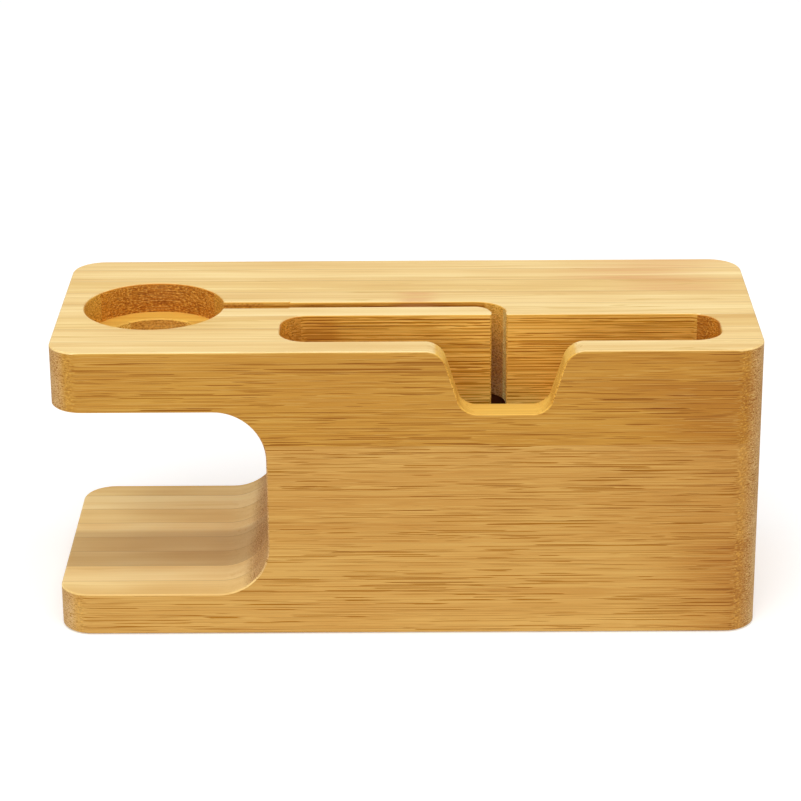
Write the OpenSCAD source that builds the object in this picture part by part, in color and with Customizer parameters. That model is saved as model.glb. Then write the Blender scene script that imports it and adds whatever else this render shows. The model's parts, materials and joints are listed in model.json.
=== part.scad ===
// Charging stand for a phone and a watch, milled from one block of glued bamboo strips.
// The origin is the middle of the underside. The front faces -Y, and the watch arm points to -X.

/* [Block] */
// Length of the stand, from the tip of the arm to the right end
body_l = 150; // [148:1:160]
// Depth of the stand, front to back
body_d = 60; // [58:0.5:64]
// Height of the stand
body_h = 64.5; // [62:0.5:68]
// Radius of the four upright corners
corner_r = 7; // [4:0.5:11]
// Leg of the chamfer that eases the outer edges
ease = 0.3; // [0.2:0.1:0.8]

/* [Lamination] */
// Thickness of one ply, before the block's front and back are planed
ply_t = 7.8; // [7.7:0.05:7.9]
// Width of one bamboo strip, before the block's top and bottom are planed
strip_w = 22.3; // [21.5:0.1:22.5]
// Distance of the middle glue line behind the middle of the block
seam_y = 0.4; // [0.3:0.1:0.5]

/* [Arm and shelf] */
// Thickness of the arm that carries the watch charger
arm_t = 13.4; // [12:0.1:15]
// Thickness of the shelf under the arm
shelf_t = 9.3; // [7:0.1:9.5]
// Depth of the gap between arm and shelf, from the left end
gap_l = 45.35; // [42:0.05:46]
// Radius of the gap's two inner corners
gap_r = 11; // [8:0.5:11]

/* [Watch well] */
// Diameter of the pocket for the charging puck
well_d = 30.2; // [29:0.1:30.4]
// Depth of the pocket, down to its ledge
well_depth = 6.7; // [5:0.1:8]
// Diameter of the hole inside the ledge
well_hole_d = 21; // [18:0.5:24]
// Distance of the well's centre from the left end
well_from_end = 20.2; // [19.5:0.1:21]
// Distance of the well's centre in front of the middle of the block
well_forward = 0.3; // [0.2:0.1:0.4]

/* [Phone slot] */
// Length of the slot
slot_l = 93.4; // [85:0.1:95]
// Width of the slot, front to back
slot_w = 16.3; // [16.1:0.1:16.6]
// Distance of the slot's centre to the right of the middle
slot_x = 19.9; // [19:0.1:21]
// Distance of the slot's centre in front of the middle
slot_forward = 15.25; // [15.2:0.05:15.3]
// Radius of the slot's four upright corners
slot_r = 6; // [3:0.5:7]

/* [Thumb notch] */
// Distance of the notch's centre to the right of the middle
notch_x = 20.6; // [18:0.1:23]
// Width of the notch between its sides, at the floor
notch_floor_w = 17.8; // [15:0.1:20]
// Width of the notch between its sides, at the top
notch_top_w = 26.7; // [24:0.1:30]
// Depth of the notch
notch_depth = 14.1; // [10:0.1:16]
// Radius of the notch's two floor corners
notch_floor_r = 4.2; // [2:0.1:5]
// Radius of the notch's two shoulders
notch_top_r = 4.8; // [2:0.1:6]

/* [Cable slit] */
// Width of the slit
slit_w = 3.2; // [3:0.1:3.6]
// Distance of the slit's centre line in front of the middle
slit_forward = 0.1; // [0:0.1:0.2]
// Radius of the bend's centre line, where the slit turns towards the slot
bend_r = 5.2; // [4.8:0.1:6]
// Width of the shallow relief between the well and the slit
relief_w = 4; // [3.8:0.1:4.6]
// Distance of the relief's end from the left end
relief_end = 49.5; // [48.5:0.1:52]
// How far the deep slit starts inside the relief
slit_overlap = 0.5; // [0.3:0.1:1.5]
// Leg of the chamfer on the slit's edges
slit_ease = 0.3; // [0.1:0.1:0.4]

/* [Cable passage] */
// Diameter of the bore from the underside up into the slot
bore_d = 20; // [19:0.5:22]
// Distance of the bore's centre in front of the middle
bore_forward = 8.5; // [8:0.1:9]
// Width of the groove in the underside, from the bore to the back
groove_w = 10; // [6:0.5:12]
// Height of the groove
groove_h = 8; // [5:0.5:12]

/* [Hidden] */
$fn = 96;
// How far a cutter runs past the face that it opens
clear = 1;
half_l = body_l / 2;
half_d = body_d / 2;
// Heights of the two glue lines between the three rows of strips
row_z = [0, (body_h - strip_w) / 2, (body_h + strip_w) / 2, body_h];
rows = ["bottom", "middle", "top"];
plies = 8;
// The slot, the slit and the bore all end at the upper glue line
slot_floor = row_z[2];
arm_z = body_h - arm_t;
gap_x = -half_l + gap_l;
well_x = -half_l + well_from_end;
well_y = -well_forward;
ledge_z = body_h - well_depth;
slot_y = -slot_forward;
slot_front = slot_y - slot_w / 2;
slot_back = slot_y + slot_w / 2;
notch_z = body_h - notch_depth;
slit_y = -slit_forward;
relief_x = -half_l + relief_end;
bore_y = -bore_forward;
// The bend turns about this point, from the slit's line to the middle of the slot
bend_c = [slot_x - bend_r, slit_y - bend_r];

// Lines that part the strips which an opening cuts right through, as their x at the ply's front and back
at_slot = [slot_x, slot_x];
at_bend = [slot_x, bend_c.x + bend_r / 2];
at_well = [well_x, well_x];
// Those strips, as row, ply, the lines where they part, and the names of what is left of them
severed = [
    [2, 2, [at_slot], ["left", "right"]],
    [2, 3, [at_slot], ["left", "right"]],
    [2, 4, [at_well, at_bend], ["tip", "left", "right"]],
    [2, 5, [at_well], ["tip", "main"]],
    [1, 3, [at_slot], ["left", "right"]],
    [1, 4, [at_slot], ["left", "right"]],
    [0, 3, [at_slot], ["left", "right"]],
    [0, 4, [at_slot], ["left", "right"]]
];
// The block's two ends, as such lines
left_end = [-half_l, -half_l];
right_end = [half_l, half_l];

function partings(row, ply) = [for (s = severed) if (s[0] == row && s[1] == ply) each s[2]];
function endings(row, ply) = [for (s = severed) if (s[0] == row && s[1] == ply) each s[3]];
function strip_name(row, ply) = str(rows[row], "_strip_", ply);
// The front of a ply, where ply 1 is at the front and a ply past the last gives the block's back
function ply_y(ply) =
    ply == 1 ? -half_d : ply > plies ? half_d : seam_y + (ply - 1 - plies / 2) * ply_t;

// Every piece of bamboo, as its name, row, ply, and the lines that it lies between
pieces = [
    for (row = [0 : 2], ply = [1 : plies])
        let (lines = concat([left_end], partings(row, ply), [right_end]), ends = endings(row, ply))
            for (i = [0 : len(lines) - 2])
                [
                    str(strip_name(row, ply), len(ends) > 0 ? str("_", ends[i]) : ""),
                    row, ply, lines[i], lines[i + 1]
                ]
];

// Tones of the strips, which repeat over the block
tones = ["#e3bd7c", "#dcb16b", "#e8c68a", "#d8aa62", "#e1b873"];

// A rectangle with round corners, about the origin
module round_rect(l, w, r) {
    square([l - 2 * r, w], center = true);
    square([l, w - 2 * r], center = true);
    for (sx = [-1, 1], sy = [-1, 1])
        translate([sx * (l / 2 - r), sy * (w / 2 - r)])
            circle(r);
}

// The section that takes a chamfer off an edge that runs through its middle
module ease_section(leg) {
    polygon([[leg, 0], [0, leg], [-leg, 0], [0, -leg]]);
}

// Eases a straight edge between two points
module ease_line(from, to, leg = ease) {
    run = to - from;
    translate(from)
        rotate([0, acos(run.z / norm(run)), atan2(run.y, run.x)])
            linear_extrude(norm(run))
                ease_section(leg);
}

// Eases an edge that bends about the Z axis, over part of a turn
module ease_bend(r, from = 0, sweep = 360, leg = ease) {
    rotate([0, 0, from])
        rotate_extrude(angle = sweep)
            translate([r, 0])
                ease_section(leg);
}

// Eases the outer edge of the whole block at one height, or of the left end as far as an x
module ease_rim(z, x_to = half_l) {
    whole = x_to == half_l;
    inner_l = half_l - corner_r;
    inner_d = half_d - corner_r;
    right = whole ? inner_l : x_to;
    for (s = [-1, 1])
        ease_line([-inner_l, s * half_d, z], [right, s * half_d, z]);
    for (s = whole ? [-1, 1] : [-1])
        ease_line([s * half_l, -inner_d, z], [s * half_l, inner_d, z]);
    translate([-inner_l, inner_d, z]) ease_bend(corner_r, 90, 90);
    translate([-inner_l, -inner_d, z]) ease_bend(corner_r, 180, 90);
    if (whole) {
        translate([inner_l, -inner_d, z]) ease_bend(corner_r, 270, 90);
        translate([inner_l, inner_d, z]) ease_bend(corner_r, 0, 90);
    }
}

// The gap between arm and shelf, open to the left, the front and the back
module gap() {
    depth = body_d + 2 * clear;
    translate([0, half_d + clear, 0])
        rotate([90, 0, 0])
            linear_extrude(depth) {
                translate([-half_l - clear, shelf_t])
                    square([gap_l + clear - gap_r, arm_z - shelf_t]);
                translate([-half_l - clear, shelf_t + gap_r])
                    square([gap_l + clear, arm_z - shelf_t - 2 * gap_r]);
                for (z = [shelf_t + gap_r, arm_z - gap_r])
                    translate([gap_x - gap_r, z])
                        circle(gap_r);
            }
    for (y = [-half_d, half_d]) {
        ease_line([gap_x, y, shelf_t + gap_r], [gap_x, y, arm_z - gap_r]);
        for (z = [shelf_t + gap_r, arm_z - gap_r])
            translate([gap_x - gap_r, y, z])
                rotate([90, 0, 0])
                    ease_bend(gap_r);
    }
    ease_rim(shelf_t, gap_x - gap_r);
    ease_rim(arm_z, gap_x - gap_r);
}

// The stepped well for the charging puck, which goes on through the arm
module well() {
    translate([well_x, well_y, ledge_z])
        cylinder(d = well_d, h = well_depth + clear);
    translate([well_x, well_y, arm_z - clear])
        cylinder(d = well_hole_d, h = arm_t);
    translate([well_x, well_y, body_h])
        ease_bend(well_d / 2);
    for (z = [arm_z, ledge_z])
        translate([well_x, well_y, z])
            ease_bend(well_hole_d / 2, leg = slit_ease);
}

// The slot that the phone stands in
module slot() {
    translate([slot_x, slot_y, slot_floor - clear])
        linear_extrude(body_h - slot_floor + 2 * clear)
            round_rect(slot_l, slot_w, slot_r);
    translate([slot_x, slot_y, body_h]) {
        for (s = [-1, 1]) {
            ease_line([-slot_l / 2 + slot_r, s * slot_w / 2, 0], [slot_l / 2 - slot_r, s * slot_w / 2, 0]);
            ease_line([s * slot_l / 2, -slot_w / 2 + slot_r, 0], [s * slot_l / 2, slot_w / 2 - slot_r, 0]);
            for (t = [-1, 1])
                translate([s * (slot_l / 2 - slot_r), t * (slot_w / 2 - slot_r), 0])
                    ease_bend(slot_r);
        }
    }
}

// Angle of the notch's sides from upright, and the direction up its right side
lean = atan2((notch_top_w - notch_floor_w) / 2, notch_depth);
up_side = [sin(lean), cos(lean)];
// The arcs' centres lie a little nearer to the lines that they blend than their radius, to cross them cleanly
bite = 0.01;
floor_reach = notch_floor_r - bite;
top_reach = notch_top_r - bite;
floor_cut = floor_reach * tan(45 - lean / 2);
top_cut = top_reach * tan(45 - lean / 2);
// The points of the right side that are nearest to the arcs' centres, from the floor up to the top
notch_a = [notch_floor_w / 2 - floor_cut, notch_z];
notch_b = [notch_floor_w / 2, notch_z] + floor_cut * up_side;
notch_c = [notch_top_w / 2, body_h] - top_cut * up_side;
notch_d = [notch_top_w / 2 + top_cut, body_h];

// One half of the notch's outline, right of its centre, in X and Z
module notch_half() {
    difference() {
        union() {
            polygon([
                [-clear, notch_a.y], notch_a, notch_b, notch_c, [notch_c.x, body_h + clear],
                [-clear, body_h + clear]
            ]);
            translate([notch_a.x, notch_z + floor_reach])
                circle(notch_floor_r);
            polygon([notch_c, notch_d, notch_d + [0, clear], [notch_c.x, body_h + clear]]);
        }
        translate([notch_d.x, body_h - top_reach])
            circle(notch_top_r);
    }
}

// Eases the notch's edge on one face of the front wall, right of its centre. The chamfers' legs differ
// by a hair between arcs and lines, so that they cross cleanly too
module notch_half_ease(y) {
    past = notch_c + 2 * ease * up_side;
    overlap = 2;
    ease_line([-clear, y, notch_z], [notch_a.x, y, notch_z]);
    ease_line([notch_b.x, y, notch_b.y], [past.x, y, past.y]);
    translate([notch_a.x, y, notch_z + floor_reach])
        rotate([90, 0, 0])
            ease_bend(notch_floor_r, leg = ease + bite);
    translate([notch_d.x, y, body_h - top_reach])
        rotate([90, 0, 0])
            ease_bend(notch_top_r, 90 - overlap, 90 - lean + 2 * overlap, ease - bite);
}

// The notch in the front wall, which lets a thumb reach the phone
module notch() {
    translate([notch_x, 0, 0])
        for (m = [0, 1])
            mirror([m, 0, 0]) {
                translate([0, slot_front + clear, 0])
                    rotate([90, 0, 0])
                        linear_extrude(half_d + slot_front + 2 * clear)
                            notch_half();
                notch_half_ease(-half_d);
                notch_half_ease(slot_front);
            }
}

// The slit that takes the watch cable from the well to the slot, with its wider relief at the well
module slit() {
    start_x = relief_x - slit_overlap;
    depth = body_h - slot_floor + 2 * clear;
    front = slit_y - slit_w / 2;
    back = slit_y + slit_w / 2;
    relief_front = slit_y - relief_w / 2;
    relief_back = slit_y + relief_w / 2;
    translate([0, 0, slot_floor - clear])
        linear_extrude(depth) {
            translate([start_x, slit_y]) circle(slit_w / 2);
            translate([start_x, front])
                square([bend_c.x - start_x, slit_w]);
            translate([slot_x - slit_w / 2, slot_y])
                square([slit_w, bend_c.y - slot_y]);
        }
    translate([bend_c.x, bend_c.y, slot_floor - clear])
        rotate_extrude(angle = 90)
            translate([bend_r - slit_w / 2, 0])
                square([slit_w, depth]);
    translate([well_x, relief_front, ledge_z])
        cube([relief_x - well_x, relief_w, well_depth + clear]);
    for (y = [relief_front, relief_back])
        ease_line([well_x, y, body_h], [relief_x, y, body_h], slit_ease);
    ease_line([relief_x, relief_front, body_h], [relief_x, relief_back, body_h], slit_ease);
    for (y = [front, back])
        ease_line([relief_x, y, body_h], [bend_c.x, y, body_h], slit_ease);
    for (r = [bend_r - slit_w / 2, bend_r + slit_w / 2])
        translate([bend_c.x, bend_c.y, body_h])
            ease_bend(r, 0, 90, slit_ease);
    for (x = [slot_x - slit_w / 2, slot_x + slit_w / 2])
        ease_line([x, slot_back, slot_floor - clear], [x, slot_back, body_h], slit_ease);
}

// The bore that takes both cables down from the slot to the underside
module bore() {
    translate([slot_x, bore_y, -clear])
        cylinder(d = bore_d, h = slot_floor + 2 * clear);
}

// The groove that leads the cables out at the back
module groove() {
    translate([slot_x - groove_w / 2, bore_y, -clear])
        cube([groove_w, half_d - bore_y + clear, groove_h + clear]);
    translate([slot_x, bore_y, 0])
        ease_bend(bore_d / 2);
    for (s = [-1, 1]) {
        ease_line([slot_x + s * groove_w / 2, bore_y, 0], [slot_x + s * groove_w / 2, half_d, 0]);
        ease_line([slot_x + s * groove_w / 2, half_d, 0], [slot_x + s * groove_w / 2, half_d, groove_h]);
    }
    ease_line([slot_x - groove_w / 2, half_d, groove_h], [slot_x + groove_w / 2, half_d, groove_h]);
}

// All that is milled out of one row of strips
module openings(row) {
    gap();
    if (row == 2) {
        well();
        slot();
        notch();
        slit();
        ease_rim(body_h);
    }
    if (row < 2)
        bore();
    if (row == 0) {
        groove();
        ease_rim(0);
    }
}

// One piece of one strip: its share of the block, between two lines, less what is milled away
module strip(row, ply, from, to) {
    front = ply_y(ply);
    back = ply_y(ply + 1);
    difference() {
        translate([0, 0, row_z[row]])
            linear_extrude(row_z[row + 1] - row_z[row])
                intersection() {
                    round_rect(body_l, body_d, corner_r);
                    polygon([[from[0], front], [to[0], front], [to[1], back], [from[1], back]]);
                }
        openings(row);
    }
}

for (i = [0 : len(pieces) - 1])
    color(tones[(2 * pieces[i][2] + 3 * pieces[i][1]) % len(tones)])
            strip(pieces[i][1], pieces[i][2], pieces[i][3], pieces[i][4]);
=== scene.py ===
"""The looks of the bamboo charging stand: the grain, tone and sheen of every strip, on a pale floor."""
import json
import math
import random

import bpy
from mathutils import Matrix, Vector


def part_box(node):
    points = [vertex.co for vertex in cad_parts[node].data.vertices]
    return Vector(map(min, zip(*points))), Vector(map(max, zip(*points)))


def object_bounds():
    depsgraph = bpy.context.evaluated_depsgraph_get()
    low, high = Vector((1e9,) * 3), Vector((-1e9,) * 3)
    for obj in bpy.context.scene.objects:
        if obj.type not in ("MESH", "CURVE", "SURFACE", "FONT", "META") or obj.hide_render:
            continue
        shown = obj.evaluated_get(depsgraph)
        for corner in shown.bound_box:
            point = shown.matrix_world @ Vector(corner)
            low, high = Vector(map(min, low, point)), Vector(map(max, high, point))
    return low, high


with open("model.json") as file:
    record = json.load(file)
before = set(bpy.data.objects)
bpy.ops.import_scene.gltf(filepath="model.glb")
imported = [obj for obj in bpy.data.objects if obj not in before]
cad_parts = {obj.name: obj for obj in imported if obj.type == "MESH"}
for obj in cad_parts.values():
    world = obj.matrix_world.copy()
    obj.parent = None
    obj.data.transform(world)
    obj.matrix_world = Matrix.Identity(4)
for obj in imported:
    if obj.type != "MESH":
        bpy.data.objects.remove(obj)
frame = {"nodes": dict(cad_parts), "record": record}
cad_low, cad_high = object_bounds()

MM = 0.001
WHITE = (1, 1, 1, 1)


class Value:
    """One output socket of a shader's nodes. Sums and products of values add Math nodes."""

    def __init__(self, shader, socket):
        self.shader = shader
        self.socket = socket

    def __add__(self, other):
        return self.shader.math("ADD", self, other)

    __radd__ = __add__

    def __sub__(self, other):
        return self.shader.math("SUBTRACT", self, other)

    def __rsub__(self, other):
        return self.shader.math("SUBTRACT", other, self)

    def __mul__(self, other):
        return self.shader.math("MULTIPLY", self, other)

    __rmul__ = __mul__


class Shader:
    """The nodes of one material or of the world, and the few ways in which this scene adds to them."""

    def __init__(self, tree):
        self.tree = tree
        tree.nodes.clear()

    def add(self, kind, settings=None, inputs=None, output=0):
        """Any node: its type, its settings, and the values or links of its sockets."""
        node = self.tree.nodes.new(kind)
        for key, value in (settings or {}).items():
            setattr(node, key, value)
        for key, value in (inputs or {}).items():
            if isinstance(value, Value):
                self.tree.links.new(value.socket, node.inputs[key])
            else:
                node.inputs[key].default_value = value
        return Value(self, node.outputs[output]) if len(node.outputs) else None

    def math(self, operation, a, b):
        return self.add("ShaderNodeMath", {"operation": operation}, {0: a, 1: b})

    def size(self, value):
        """A value without its sign."""
        return self.add("ShaderNodeMath", {"operation": "ABSOLUTE"}, {0: value})

    def step(self, value, start, end):
        """A smooth step that is 0 at start and 1 at end. Start may be the larger one."""
        inputs = {0: value, 1: min(start, end), 2: max(start, end)}
        rise = self.add("ShaderNodeMapRange", {"interpolation_type": "SMOOTHSTEP"}, inputs)
        return rise if start < end else 1 - rise

    def vector(self, x, y, z):
        return self.add("ShaderNodeCombineXYZ", None, {0: x, 1: y, 2: z})

    def split(self, vector):
        """The three parts of a vector."""
        x = self.add("ShaderNodeSeparateXYZ", None, {0: vector})
        return [Value(self, part) for part in x.socket.node.outputs]

    def noise(self, x, y, z, detail=1.0):
        """Smooth noise about 0, whose grain is as wide as one unit of x, y and z."""
        inputs = {"Vector": self.vector(x, y, z), "Scale": 1.0, "Detail": detail}
        return self.add("ShaderNodeTexNoise", None, inputs) - 0.5

    def dots(self, y, z):
        """Distance from the middle of the nearest of many cells, one to each unit of y and z."""
        inputs = {"Vector": self.vector(y, z, 0.0), "Scale": 1.0}
        return self.add("ShaderNodeTexVoronoi", {"voronoi_dimensions": "2D"}, inputs)

    def lines(self, z, jitter=1.0):
        """Distance from the nearest of many level lines, one to each unit of z."""
        inputs = {"W": z, "Scale": 1.0, "Randomness": jitter}
        return self.add("ShaderNodeTexVoronoi", {"voronoi_dimensions": "1D"}, inputs)

    def mix(self, amount, under, over, blend="MIX"):
        """One colour laid over another."""
        settings = {"data_type": "RGBA", "blend_type": blend}
        return self.add("ShaderNodeMix", settings, {0: amount, 6: under, 7: over}, output=2)


def new_material(name):
    """An empty material and its nodes."""
    material = bpy.data.materials.new(name)
    material.use_nodes = True
    return material, Shader(material.node_tree)


def colour(red, green, blue):
    """A linear colour from the values of 0 to 255 that a painter would name."""
    def linear(c):
        c = c / 255
        return c / 12.92 if c <= 0.04045 else ((c + 0.055) / 1.055) ** 2.4
    return (linear(red), linear(green), linear(blue), 1)


# The tones of each kind of bamboo, by how a surface was cut: the block's broad front and back, its
# sanded top and shelf, the cut ends of the fibres, and what is milled into the top: floors, walls
# along the fibres and walls across them
# The cut ends' tone is paler and greyer partly from the end grain and partly as a painted reflection of
# the white surround on the rounded corners
TONES = {
    "bamboo_pale": {
        "broad": colour(197, 146, 58),
        "sanded": colour(245, 211, 142),
        "end": colour(206, 162, 106),
        "floor": colour(242, 193, 88),
        "wall": colour(233, 179, 80),
        "cross": colour(240, 184, 72),
    },
    "bamboo_honey": {
        "broad": colour(203, 155, 78),
        "sanded": colour(241, 205, 132),
        "end": colour(205, 162, 107),
        "floor": colour(244, 192, 84),
        "wall": colour(202, 138, 48),
        "cross": colour(228, 152, 42),
    },
    "bamboo_tan": {
        "broad": colour(200, 152, 68),
        "sanded": colour(210, 175, 112),
        "end": colour(197, 154, 100),
        "floor": colour(224, 166, 72),
        "wall": colour(198, 142, 62),
        "cross": colour(190, 128, 46),
    },
}
PITH = colour(238, 206, 124)
GLUE = colour(140, 88, 34)
# What is left of the wood's own colour in a dark fibre or a pore, and under the painted shade on the
# eased rims of the hollows
STAIN_AND_RIM_SHADE = colour(198, 168, 40)
# The colour of the pale flecks: partly torn fibre ends, partly painted glints
PALE_FLECK_AND_GLINT = colour(240, 184, 80)
KNUCKLE = colour(222, 156, 96)

# Painted light at the cable channel's mouth, painted shade that deepens down its walls and a
# painted highlight on its right wall. The bore below it is painted dark as shade.
MOUTH_PAINTED_LIGHT = colour(255, 200, 100)
CHANNEL_PAINTED_SHADE = colour(190, 132, 80)
CHANNEL_PAINTED_HIGHLIGHT = colour(255, 234, 152)
BORE_PAINTED_SHADE = colour(100, 36, 20)

# How much of each of these tones lies over the wood, where it lies at all
MOUTH_LIGHT_SHARE = 0.6
CHANNEL_SHADE_SHARE = 0.9
BORE_SHADE_SHARE = 0.9
RIM_SHADE_SHARE = 0.45
FLECKING = 0.5
SCARRING = 0.6

# How much of each kind of fibre shows on any surface, and how much more on each kind of cut
SHOWING = {
    "pith": {"any": 0.16, "broad": 0.02, "end": 0.5, "milled": 0.1},
    "fine": {"any": 0.13, "broad": 0.05, "end": 0.66, "milled": 0.4},
    "bundle": {"any": 0.26, "broad": 0.25, "end": 0.64, "milled": 0.3},
    "pores": {"any": 0.4, "broad": 0.6, "end": 0.0, "milled": 0.0},
    "grooves": {"any": 0.0, "broad": 0.0, "end": 0.0, "milled": 0.85},
}

# How far the cutter smeared the ends of the fibres in what is milled into the top, how far it tore
# the fibres where it turned around the upright corners, and how far the sander softened the shelf
SMEARING = 0.6
TEARING = 0.6
SOFTENING = 0.6

# How far each pattern makes the wood lighter and darker, how much calmer the bands are on the block's
# broad front and back and in the bottom row, how much lighter the wood is between crowded pores, and
# how much darker each ply is at the side that was the culm's outer skin
BANDING = 0.34
STREAKING = 0.2
PATCHING = 0.16
BROAD_CALM = 0.5
BOTTOM_CALM = 0.4
CROWD_LIGHT = 0.14
SKIN_DARKENING = 0.05

# How fast green and blue fall off in dark wood, as powers of red's own falloff
GREEN_FALLOFF = 1.8
BLUE_FALLOFF = 3.2

# How much painted shade darkens each row of the front towards its right end, and from which x on, in mm
END_DARKENING = {"bottom": (0.3, 45), "middle": (0.13, 30), "top": (0.16, 30)}

# How much painted light, as bounced from the floor, lightens the front towards the floor, from this
# height on, in mm
FLOOR_LIGHT = 0.05
FLOOR_LIGHT_HEIGHT = 12

# How fast the fibres wander through a face, for each mm along the strip. Slow ones draw long lines.
WANDER = {"bottom": 0.012, "middle": 0.02, "top": 0.02}

# How far the bundles and the fine fibres sway from front to back, and how far all rise and fall, in mm
BUNDLE_SWAY = 6.0
FINE_SWAY = 3.0
RISE = 0.4

# The plies whose dense side, once the culm's outer skin, is in front. The others have it behind.
SKIN_IN_FRONT = (1, 4, 7)

# Strips that come from a darker or a lighter stretch of the culm
# For top_strip_1 and bottom_strip_1 the shade is partly painted light: the bottom row's front lighter and
# the top row's darker, as lit from the floor
SHADES = {
    "top_strip_1": 0.97,
    "bottom_strip_1": 1.045,
    "bottom_strip_2": 1.01,
    "bottom_strip_5": 1.05,
    "bottom_strip_6": 1.03,
    "bottom_strip_7": 1.03,
    "top_strip_4_left": 1.09,
    "top_strip_4_right": 1.05,
}

# How much lighter the sanded top of a strip is than the rest of it
SANDED_LIGHT = {"top_strip_1": 0.05}

# A strip whose front side is as dark as the tan strip before it, over so many mm
TAN_SIDE = {"bottom_strip_5": 5}

# Painted shade and light in the well: how much darker its wall is above its ledge, and how much lighter
# below it and on its left
WELL_DARKENING = 0.11
HOLE_LIGHT = 0.12
LEFT_LIGHT = 0.13

# How much painted light lightens the slot's walls towards its floor, from this height above it on, in mm
FOOT_LIGHT = 0.22
FOOT_HEIGHT = 6

# How much painted light lightens the walls of the slot's left end, and the strips that have them
END_LIGHT = 0.17
END_STRIPS = ("top_strip_2_left", "top_strip_3_left")

# How much painted shade darkens the slit's back wall, and how much more so between these two x and
# on, in mm, where the slit nears its bend
SLIT_DARKENING = 0.07
BEND_DARKENING = 0.15
BEND_FROM = -28
BEND_TO = -18

# Darker marks on the back walls of the slit and the slot: the x of each one's middle, how far it
# reaches, in mm, and how much darker it is
SLIT_MARK = (4, 9, 0.2)
SLOT_MARK = (-19, 6, 0.15)

# How deep the channel's painted light at its mouth reaches, and from which depth on it is all painted
# shade, in mm
MOUTH_DEPTH = 3
FULL_SHADE_DEPTH = 13

# How wide a glue line is to each side, in mm, and how much it shows on any surface and on the block's
# broad front and back
GLUE_REACH = 0.14
GLUE_SHOWS = 0.4
GLUE_SHOWS_BROAD = 0.1

# Where a strip has the scar of a knuckle: the x of its middle and how far it reaches, in mm
KNUCKLES = {
    "top_strip_8": (56, 26),
    "top_strip_7": (52, 26),
    "top_strip_6": (60, 20),
    "top_strip_5_main": (2, 7),
}

# The block, in mm: half its length and depth, its height, the radius of its upright corners and the
# leg of the chamfer that eases its edges
half_x = cad_high.x / MM
half_y = cad_high.y / MM
top_z = cad_high.z / MM
CORNER_R = 7
EASE = 0.3

# What is cut from it, in mm: the arm's underside and the column's left wall, which bound the watch
# gap, the radius of the gap's inner corners, the well down to its ledge, the back walls of the slit
# and the slot, the slot's floor, the channel in the slot's back wall, which reaches so far to each
# side of its middle, and the cable bore right below the channel
arm_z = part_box("top_strip_4_tip")[0].z / MM
column_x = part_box("middle_strip_5")[0].x / MM
GAP_R = 11
WELL_DEPTH = 6.7
SLIT_BACK = 1.5
SLOT_BACK = -7.1
slot_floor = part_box("top_strip_3_left")[0].z / MM
CHANNEL_REACH = 2.6
CHANNEL_STRIPS = ("top_strip_4_right", "top_strip_5_main")
bore = next(mount for mount in frame["record"]["mounts"] if mount["name"] == "cable_bore")
bore_x = bore["pos_m"][0] / MM
bore_y = bore["pos_m"][1] / MM
bore_r = bore["dims"]["r_mm"]


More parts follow.
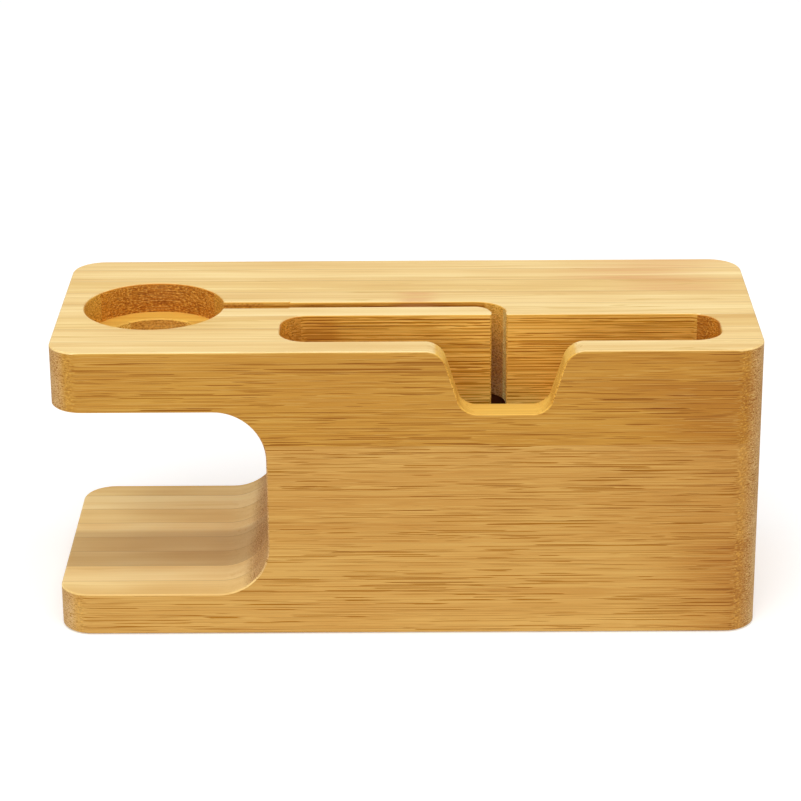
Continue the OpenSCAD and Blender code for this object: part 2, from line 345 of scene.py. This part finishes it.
class Strip:
    """One strip, as the nodes of its material see it: where a point lies in it, in mm, which way the
    surface faces there, and masks that are 1 on one kind of surface and 0 on the others."""

    def __init__(self, node, seed):
        self.node = node
        self.row = node.split("_")[0]
        self.ply = int(node.split("_")[2])
        self.material, self.shader = new_material("bamboo_" + node)
        s = self.shader
        self.places = [part * (1 / MM) for part in s.split(s.add("ShaderNodeTexCoord", output=3))]
        self.x, self.y, self.z = self.places
        self.normal = s.split(s.add("ShaderNodeNewGeometry", output=1))
        self.facing = [s.size(part) for part in self.normal]
        self.upright = 1 - s.step(self.normal[2], 0.12, 0.5)
        self.end_on = s.step(self.facing[0], 0.42, 0.75) * self.on_end_grain()
        self.broad_on = s.step(self.facing[1], 0.4, 0.9) * self.upright
        self.sanded_on = 1.0 if self.row == "bottom" else s.step(self.z, top_z - 0.8, top_z - 0.3)
        self.soft = SOFTENING * s.step(self.normal[2], 0.5, 0.95) if self.row == "bottom" else 0.0
        self.hollow = self.in_hollow()
        self.end_shows = self.end_on * (1 - SMEARING * self.hollow)
        self.milled = self.hollow * self.upright
        self.in_well = self.milled * s.step(self.x, column_x, column_x - 2)
        across = self.milled * s.step(self.facing[0], 0.3, 0.7)
        turn = s.step(self.facing[0], 0.2, 0.32) * s.step(self.facing[0], 0.62, 0.42)
        turn = TEARING * self.upright * turn * (1 - self.hollow)
        self.torn = s.math("MAXIMUM", s.math("MAXIMUM", self.in_well, across), turn)

        # Each strip has its own stretch of the pattern
        rng = random.Random(seed)
        self.u = self.x + rng.uniform(-900, 900)
        self.v = self.y + rng.uniform(-90, 90)
        self.w = self.z + rng.uniform(-90, 90)

    def in_hollow(self):
        """1 on what is milled into the top: the well, the slit, the slot and the notch. It ends where
        the block's own eased edge starts, but under that edge the notch runs on to the outline."""
        if self.row != "top":
            return 0.0
        s = self.shader
        past_x = s.math("MAXIMUM", s.size(self.x) - (half_x - CORNER_R), 0.0)
        past_y = s.math("MAXIMUM", s.size(self.y) - (half_y - CORNER_R), 0.0)
        out = past_x * past_x + past_y * past_y
        inside_edge = s.step(out, (CORNER_R - EASE) ** 2, (CORNER_R - EASE - 0.3) ** 2)
        inside_outline = s.step(out, (CORNER_R - 0.02) ** 2, (CORNER_R - 0.06) ** 2)
        under_edge = s.step(self.z, top_z - EASE - 0.2, top_z - EASE - 0.4)
        inside = s.math("MAXIMUM", inside_edge, inside_outline * under_edge)
        in_gap = s.step(self.x, column_x + 1.6, column_x + 1.0) * s.step(self.z, arm_z + 1.2, arm_z + 0.8)
        return inside * (1 - in_gap)

    def on_end_grain(self):
        """1 on upright surfaces, and on the rounded way up from the shelf to the column."""
        if self.row != "bottom":
            return self.upright
        s = self.shader
        rounded = s.step(self.x, column_x - GAP_R, column_x - GAP_R + 1)
        return s.math("MAXIMUM", self.upright, rounded)

    def on_eased_edge(self):
        """Two masks for the painted shade on the eased edges, which slope at 45 degrees: 1 on the lower
        half of those at the top of the hollows, and 1 on the outer half of those along the front and
        back."""
        s = self.shader
        up = self.normal[2]
        slopes = s.step(s.size(up - math.sqrt(0.5)), 0.12, 0.05)
        below = s.step(self.z, top_z - 0.4 * EASE, top_z - 0.6 * EASE)
        near_top = s.step(self.z, top_z - EASE - 0.1, top_z - EASE)
        faces_out = s.step(self.facing[1], 0.3, 0.6) * s.step(up, 0.1, 0.65) * s.step(up, 0.97, 0.85)
        outer_half = s.step(s.size(self.y), half_y - 0.6 * EASE, half_y - 0.4 * EASE)
        return self.hollow * slopes * below * near_top, faces_out * outer_half

    def showing(self, kind):
        """How much of a kind of fibre shows here, by how the surface was cut."""
        share = SHOWING[kind]
        amount = share["any"] * (1 - self.soft) + share["broad"] * self.broad_on
        return amount + share["end"] * self.end_shows + share["milled"] * self.milled

    def skin(self):
        """0 at the strip's soft side, 1 at the side that was the culm's outer skin."""
        low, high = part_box(self.node)
        depth = (self.y - low.y / MM) * (MM / (high.y - low.y))
        return 1 - depth if self.ply in SKIN_IN_FRONT else depth


def fibres(strip, skin, crowd):
    """The fibres run along X and wander in and out of a face on their way, so they show as lines on
    the strip's sides and as dots on its cut ends. The pores are hair lines, which crowd here and
    there, and the grooves wider ones, which a cutter opens wherever it runs along the fibres. Where
    it turns across them, as at the upright corners, it tears them into flecks, and the pale ones are
    partly painted glints. A number that multiplies a place is a count for each mm."""
    s = strip.shader
    u, v, w = strip.u, strip.v, strip.w
    pace = WANDER[strip.row]
    across = v + BUNDLE_SWAY * s.noise(u * pace, v * 0.3, w * 0.6)
    along = w + RISE * s.noise(u * pace * 0.4 + 40, v * 0.1, w * 0.1)
    fine_across = v + FINE_SWAY * s.noise(u * pace * 1.6 + 80, v * 0.5, w * 0.9)
    along_fibres = strip.upright * s.step(strip.facing[0], 0.5, 0.2) * (1 - strip.torn)
    flecks = s.noise(u * 1.8, v * 1.8, w * 2.6)
    pore_row = s.step(s.lines(along * 2.3), 0.24, 0.18) * along_fibres
    groove_row = s.step(s.lines(along * 1.35 + 7, 0.3), 0.22, 0.14) * along_fibres
    return {
        "pith": s.step(s.dots(fine_across * 1.7 + 9, along * 2.9 + 5), 0.25, 0.15),
        "fine": s.step(s.dots(fine_across * 2.6, along * 3.3), 0.35, 0.23),
        "bundle": s.step(s.dots(across * 1.2, along * 1.7) - 0.06 * skin, 0.15, 0.09),
        "pores": pore_row * s.step(s.noise(u * 0.065, v * 0.8, w * 2.4) + 0.6 * crowd, 0.08, 0.11),
        "grooves": groove_row * s.step(s.noise(u * 0.015, v * 0.5, w * 0.8), -0.1, 0.06),
        "pale flecks and glints": s.step(flecks, 0.06, 0.14) * strip.torn,
        "dark flecks": s.step(flecks, -0.04, -0.12) * strip.torn,
    }


def plain_tone(strip, tones):
    """The wood's even tone, by how the surface was cut, with painted shade on the top's eased edges."""
    s = strip.shader
    base = s.mix(strip.sanded_on, tones["floor"], tones["sanded"])
    base = s.mix(strip.broad_on, base, tones["broad"])
    base = s.mix(strip.end_on * (1 - strip.hollow), base, tones["end"])
    base = s.mix(strip.milled, base, s.mix(strip.broad_on, tones["cross"], tones["wall"]))
    if strip.row == "top":
        # Painted shade on the eased edges: the lower half of the hollows' rims and the outer half of the
        # front and back rims
        of_hollow, of_front = strip.on_eased_edge()
        base = s.mix(of_hollow, base, s.mix(RIM_SHADE_SHARE, tones["cross"], STAIN_AND_RIM_SHADE, "MULTIPLY"))
        base = s.mix(of_front, base, tones["broad"])
    return base


def dark_mark(strip, mark):
    """How much darker the strip is at a mark."""
    s = strip.shader
    middle, reach, darkening = mark
    return darkening * s.step(s.size(strip.x - middle), reach, 0.4 * reach)


def darken_slit(strip, light):
    """The slit's back wall, with painted shade that deepens towards its bend, and darker at a mark."""
    s = strip.shader
    wall = strip.milled * s.step(s.size(strip.y - SLIT_BACK), 0.6, 0.3)
    to_bend = s.step(strip.x, BEND_FROM, BEND_TO)
    return light - wall * (SLIT_DARKENING + BEND_DARKENING * to_bend + dark_mark(strip, SLIT_MARK))


def darken_slot_end(strip, light):
    """The left end of the slot's back wall, browner at a mark."""
    s = strip.shader
    wall = strip.milled * s.step(strip.y, SLOT_BACK + 0.5, SLOT_BACK)
    return light - wall * dark_mark(strip, SLOT_MARK)


def paint_channel_light_and_shade(strip, base):
    """The channel down the slot's back wall, with painted light at its mouth, painted shade that
    deepens as it goes down, and a painted highlight on its right wall."""
    s = strip.shader
    beside = s.step(s.size(strip.x - bore_x), CHANNEL_REACH + 0.4, CHANNEL_REACH)
    channel = beside * s.step(strip.y, SLOT_BACK, SLOT_BACK + 0.5) * strip.upright
    deep = s.step(strip.z, top_z - MOUTH_DEPTH, top_z - FULL_SHADE_DEPTH)
    mouth = s.step(strip.z, top_z - 0.5, top_z - MOUTH_DEPTH) * (1 - deep)
    base = s.mix(channel * mouth * MOUTH_LIGHT_SHARE, base, MOUTH_PAINTED_LIGHT)
    base = s.mix(channel * deep * CHANNEL_SHADE_SHARE, base, CHANNEL_PAINTED_SHADE)
    return s.mix(channel * s.step(strip.normal[0], -0.89, -0.95), base, CHANNEL_PAINTED_HIGHLIGHT)


def paint_bore_shade(strip, base):
    """The wall of the cable bore, painted dark as the shade in the deep hole."""
    s = strip.shader
    off_x = strip.x - bore_x
    off_y = strip.y - bore_y
    in_bore = s.step(off_x * off_x + off_y * off_y, (bore_r + 0.4) ** 2, (bore_r + 0.2) ** 2)
    return s.mix(in_bore * strip.upright * BORE_SHADE_SHARE, base, BORE_PAINTED_SHADE)


def glue_lines(strip, base):
    """Where the strip meets its neighbours: thin lines, each seen only on faces that cross it."""
    s = strip.shader
    low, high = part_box(strip.node)
    shows = GLUE_SHOWS + (GLUE_SHOWS_BROAD - GLUE_SHOWS) * strip.broad_on
    for axis in (1, 2):
        for at in (low[axis], high[axis]):
            if min(at - cad_low[axis], cad_high[axis] - at) > 0.5 * MM:
                near = s.step(s.size(strip.places[axis] - at / MM), GLUE_REACH, 0.3 * GLUE_REACH)
                line = near * s.step(strip.facing[axis], 0.7, 0.4)
                base = s.mix(line * shows, base, GLUE)
    return base


def knuckle_scar(strip, base, streak, patch):
    """The ragged, reddish scar where the culm had a knuckle."""
    s = strip.shader
    middle, reach = KNUCKLES[strip.node]
    off = s.size(strip.x - middle + 6.0 * patch)
    scar = s.step(off, reach, 1.0) * s.step(streak, -0.2, 0.15)
    return s.mix(scar * SCARRING, base, KNUCKLE)


def strip_material(node, slot, seed):
    """Bamboo for one strip."""
    strip = Strip(node, seed)
    s = strip.shader
    u, v, w = strip.u, strip.v, strip.w
    skin = strip.skin()
    crowd = s.noise(u * 0.02 + 60, v * 0.3, w * 0.4)
    fibre = fibres(strip, skin, crowd)

    # Soft bands along the strip, streaks between the fibres, and slow patches
    band = s.noise(u * 0.008, v * 0.35, w * 0.35)
    streak = s.noise(u * 0.022, v * 1.4, w * 2.0, 2.0)
    patch = s.noise(u * 0.04, v * 0.1, w * 0.1)

    base = plain_tone(strip, TONES[slot])
    if node in TAN_SIDE:
        low_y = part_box(node)[0].y / MM
        dark_side = s.step(strip.y, low_y + TAN_SIDE[node], low_y + 0.3 * TAN_SIDE[node])
        base = s.mix(dark_side, base, plain_tone(strip, TONES["bamboo_tan"]))
    # Painted light, painted shade and a painted highlight in the cable channel
    if node in CHANNEL_STRIPS:
        base = paint_channel_light_and_shade(strip, base)
    light = SHADES.get(node, 1.0) + STREAKING * streak * (1 - strip.soft)
    light = light + PATCHING * patch * (1 + 2 * strip.soft)
    calm = BROAD_CALM * strip.broad_on
    if strip.row == "bottom":
        calm = s.math("MAXIMUM", calm, BOTTOM_CALM)
    light = light + BANDING * band * (1 - calm)
    light = light + CROWD_LIGHT * crowd * strip.broad_on
    if strip.row == "top":
        # Painted light at the foot of the slot's walls
        foot = strip.milled * s.step(strip.z, slot_floor + FOOT_HEIGHT, slot_floor + 1)
        # Painted shade in the well above its ledge, and painted light below it and on its left wall
        above_ledge = s.step(strip.z, top_z - WELL_DEPTH - 0.1, top_z - WELL_DEPTH)
        on_left = s.step(strip.normal[0], 0.3, 0.8)
        in_well = HOLE_LIGHT - (HOLE_LIGHT + WELL_DARKENING) * above_ledge + LEFT_LIGHT * on_left
        light = light + FOOT_LIGHT * foot * (1 - strip.in_well) + strip.in_well * in_well
    # Painted light on the walls of the slot's left end
    if node in END_STRIPS:
        light = light + END_LIGHT * strip.milled * (1 - strip.in_well)
    # Painted shade on the slit's back wall
    if node == "top_strip_5_main":
        light = darken_slit(strip, light)
    if node == "top_strip_4_left":
        light = darken_slot_end(strip, light)
    if node in SANDED_LIGHT:
        light = light + SANDED_LIGHT[node] * strip.sanded_on
    light = light - SKIN_DARKENING * skin * skin
    if strip.ply == 1:
        # Painted shade towards the front's right end
        darkening, start = END_DARKENING[strip.row]
        to_end = s.step(strip.x, start, half_x)
        # Painted light from the floor near the front's foot
        to_floor = s.step(strip.z, FLOOR_LIGHT_HEIGHT, 0.3 * FLOOR_LIGHT_HEIGHT)
        change = FLOOR_LIGHT * to_floor - darkening * to_end
        light = light + change * strip.broad_on * (1 - strip.hollow)
    # Dark wood is redder: its green falls off faster than its red, and its blue faster still
    green = s.math("POWER", light, GREEN_FALLOFF)
    blue = s.math("POWER", light, BLUE_FALLOFF)
    base = s.mix(1.0, base, s.vector(light, green, blue), "MULTIPLY")
    base = s.mix(fibre["pith"] * strip.showing("pith"), base, PITH)
    base = s.mix(fibre["pale flecks and glints"] * FLECKING, base, PALE_FLECK_AND_GLINT)
    base = s.mix(fibre["dark flecks"] * FLECKING, base, STAIN_AND_RIM_SHADE, "MULTIPLY")
    for kind in ("fine", "bundle", "pores", "grooves"):
        base = s.mix(fibre[kind] * strip.showing(kind), base, STAIN_AND_RIM_SHADE, "MULTIPLY")
    # Painted shade in the cable bore
    if strip.row != "top":
        base = paint_bore_shade(strip, base)
    base = glue_lines(strip, base)
    if node in KNUCKLES:
        base = knuckle_scar(strip, base, streak, patch)

    height = 0.5 * streak - 0.6 * fibre["bundle"] - 0.3 * fibre["fine"]
    bump = s.add("ShaderNodeBump", None, {"Strength": 0.4, "Distance": 0.08 * MM, "Height": height})
    wood = s.add("ShaderNodeBsdfPrincipled", None, {
        "Base Color": base,
        "Normal": bump,
        "IOR": 1.3,
        "Roughness": 0.5 + 0.12 * streak + 0.15 * strip.end_on + 0.08 * fibre["bundle"],
    })
    s.add("ShaderNodeOutputMaterial", None, {"Surface": wood})
    return strip.material


def dress_strips():
    """Gives every strip its own bamboo."""
    slots = {part["node"]: part["material_slot"] for part in frame["record"]["subparts"]}
    for seed, (name, strip) in enumerate(sorted(frame["nodes"].items())):
        material = strip_material(name, slots[name], seed)
        strip.data.materials.clear()
        strip.data.materials.append(material)


def add_floor():
    """A pale floor that is white to the camera and keeps the stand's soft shadow. It lies a hair
    below the stand, so that the two never share a face."""
    size = 8
    behind = 1.5
    hair = 0.2 * MM
    bpy.ops.mesh.primitive_plane_add(size=size, location=(0, behind, -hair))
    floor = bpy.context.object
    floor.name = "floor"
    material, s = new_material("floor_white")
    seen = s.add("ShaderNodeLightPath", output=0)
    matte = s.add("ShaderNodeBsdfDiffuse", None, {"Color": (0.9, 0.9, 0.9, 1)})
    glow = s.add("ShaderNodeEmission", None, {"Color": WHITE, "Strength": seen * 0.3})
    both = s.add("ShaderNodeAddShader", None, {0: matte, 1: glow})
    s.add("ShaderNodeOutputMaterial", None, {"Surface": both})
    floor.data.materials.append(material)


def add_world():
    """A white surround: full white to the camera and in reflections, softer as a light."""
    world = bpy.data.worlds.new("surround")
    bpy.context.scene.world = world
    world.use_nodes = True
    s = Shader(world.node_tree)
    as_light = s.add("ShaderNodeLightPath", output=2)
    surround = s.add("ShaderNodeBackground", None, {"Color": WHITE, "Strength": 1 - 0.5 * as_light})
    s.add("ShaderNodeOutputWorld", None, {"Surface": surround})


def add_softbox(name, place):
    """A square softbox at a place, turned to shine at the middle of the stand."""
    data = bpy.data.lights.new(name, "AREA")
    data.shape = "SQUARE"
    data.size = 1.2
    data.energy = 9.5
    lamp = bpy.data.objects.new(name, data)
    bpy.context.scene.collection.objects.link(lamp)
    lamp.location = place
    ahead = (cad_low + cad_high) / 2 - Vector(place)
    lamp.rotation_mode = "QUATERNION"
    lamp.rotation_quaternion = ahead.to_track_quat("-Z", "Y")


def add_camera():
    """The photograph's camera, solved from the edges of the block."""
    place = Vector((1.860, -580.262, 268.094)) * MM
    yaw = math.radians(-0.324)
    pitch = math.radians(21.286)
    roll = math.radians(-0.399)
    level_ahead = Vector((math.sin(yaw), math.cos(yaw), 0))
    level_right = Vector((math.cos(yaw), -math.sin(yaw), 0))
    ahead = level_ahead * math.cos(pitch) - Vector((0, 0, math.sin(pitch)))
    above = level_right.cross(ahead)
    right = math.cos(roll) * level_right + math.sin(roll) * above
    up = math.cos(roll) * above - math.sin(roll) * level_right
    data = bpy.data.cameras.new("camera")
    data.sensor_width = 36
    data.lens = 127.18
    data.clip_start = 0.01
    data.clip_end = 50
    camera = bpy.data.objects.new("camera", data)
    bpy.context.scene.collection.objects.link(camera)
    turn = Matrix((right, up, -ahead)).transposed()
    camera.matrix_world = Matrix.Translation(place) @ turn.to_4x4()
    bpy.context.scene.camera = camera


dress_strips()
add_floor()
add_world()
add_softbox("overhead", (0, -0.45, 1.3))
add_softbox("front", (-0.25, -1.6, 0.6))
add_camera()
bpy.context.scene.view_settings.view_transform = "Standard"
